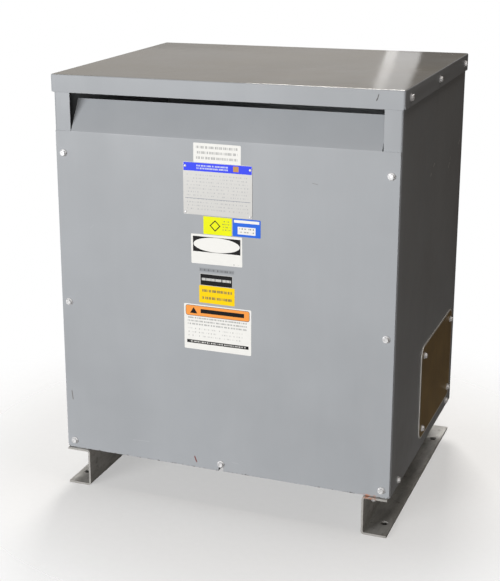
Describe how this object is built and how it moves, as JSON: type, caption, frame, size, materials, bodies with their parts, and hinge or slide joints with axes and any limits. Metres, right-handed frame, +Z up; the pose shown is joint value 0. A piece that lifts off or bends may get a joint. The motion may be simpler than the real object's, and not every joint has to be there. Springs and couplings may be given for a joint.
{
  "type": "ventilated dry-type floor-standing transformer",
  "caption": "Boxy light grey sheet-steel transformer enclosure on open channel feet, with an overhanging lid, inward vent flaps and a core with windings inside.",
  "frame": {"origin": "centre of the footprint, at floor level under the feet", "axes": "+Z up, +X to the right seen from the front, front panel with the nameplate towards -Y"},
  "size_m": [0.7746, 0.6163, 0.94],
  "materials": {
    "grey_paint": "satin light grey enamel on sheet steel",
    "lid_paint": "satin light grey enamel, glossier and dusty",
    "foot_steel": "worn dark grey paint over hot-rolled steel",
    "sill_steel": "grey primer, rusty along the edges",
    "cover_sheet": "smooth brown-olive sheet with bare bright edges",
    "zinc": "bright zinc plate",
    "rubber": "matt black",
    "core_steel": "varnished silicon steel laminations",
    "clamp_paint": "dark grey enamel",
    "low_varnish": "amber varnish over sheet-wound aluminium and paper",
    "high_varnish": "amber varnish over wire-wound aluminium and paper",
    "bus_metal": "tin-plated bar",
    "board_resin": "red-brown glass polyester board",
    "plate_metal": "satin printed plate"
  },
  "bodies": {
    "enclosure": {"mounting_foot_left": "foot_steel", "mounting_foot_right": "foot_steel", "foot_bolt_front_left": "zinc", "foot_bolt_rear_left": "zinc", "foot_bolt_front_right": "zinc", "foot_bolt_rear_right": "zinc", "base_sill_front": "sill_steel", "base_sill_rear": "sill_steel", "side_panel_left": "grey_paint", "side_panel_right": "grey_paint", "ground_bar": "bus_metal", "core_yoke_bottom": "core_steel", "core_yoke_top": "core_steel", "core_leg_left": "core_steel", "core_leg_centre": "core_steel", "core_leg_right": "core_steel", "low_voltage_winding_left": "low_varnish", "low_voltage_winding_centre": "low_varnish", "low_voltage_winding_right": "low_varnish", "high_voltage_winding_left": "high_varnish", "high_voltage_winding_centre": "high_varnish", "high_voltage_winding_right": "high_varnish", "core_clamp_bottom_front": "clamp_paint", "core_clamp_bottom_rear": "clamp_paint", "core_clamp_top_front": "clamp_paint", "core_clamp_top_rear": "clamp_paint", "isolation_pad_front_left": "rubber", "isolation_pad_rear_left": "rubber", "isolation_pad_front_right": "rubber", "isolation_pad_rear_right": "rubber", "terminal_board": "board_resin", "high_voltage_tap_block_left": "board_resin", "high_voltage_tap_block_centre": "board_resin", "high_voltage_tap_block_right": "board_resin", "low_voltage_bus_left": "bus_metal", "low_voltage_bus_centre": "bus_metal", "low_voltage_bus_right": "bus_metal", "neutral_bus": "bus_metal"},
    "front_cover": {"front_panel": "grey_paint", "front_screw_1": "zinc", "front_screw_2": "zinc", "front_screw_3": "zinc", "front_screw_4": "zinc", "front_screw_5": "zinc", "front_screw_6": "zinc", "front_screw_7": "zinc", "nameplate": "plate_metal"},
    "rear_cover": {"rear_panel": "grey_paint"},
    "lid": {"top_cover": "lid_paint", "lid_screw_left_1": "zinc", "lid_screw_left_2": "zinc", "lid_screw_left_3": "zinc", "lid_screw_right_1": "zinc", "lid_screw_right_2": "zinc", "lid_screw_right_3": "zinc"},
    "side_access": {"access_cover": "cover_sheet", "access_screw_1": "zinc", "access_screw_2": "zinc", "access_screw_3": "zinc", "access_screw_4": "zinc"}
  },
  "joints": [
    {"name": "front_cover_pull", "type": "slide", "parent": "enclosure", "child": "front_cover", "axis": [0, -1, 0], "range_m": [0, 0.35]},
    {"name": "rear_cover_pull", "type": "slide", "parent": "enclosure", "child": "rear_cover", "axis": [0, 1, 0], "range_m": [0, 0.35]},
    {"name": "lid_lift", "type": "slide", "parent": "enclosure", "child": "lid", "axis": [0, 0, 1], "range_m": [0, 0.25]},
    {"name": "access_cover_pull", "type": "slide", "parent": "enclosure", "child": "side_access", "axis": [1, 0, 0], "range_m": [0, 0.18]}
  ]
}
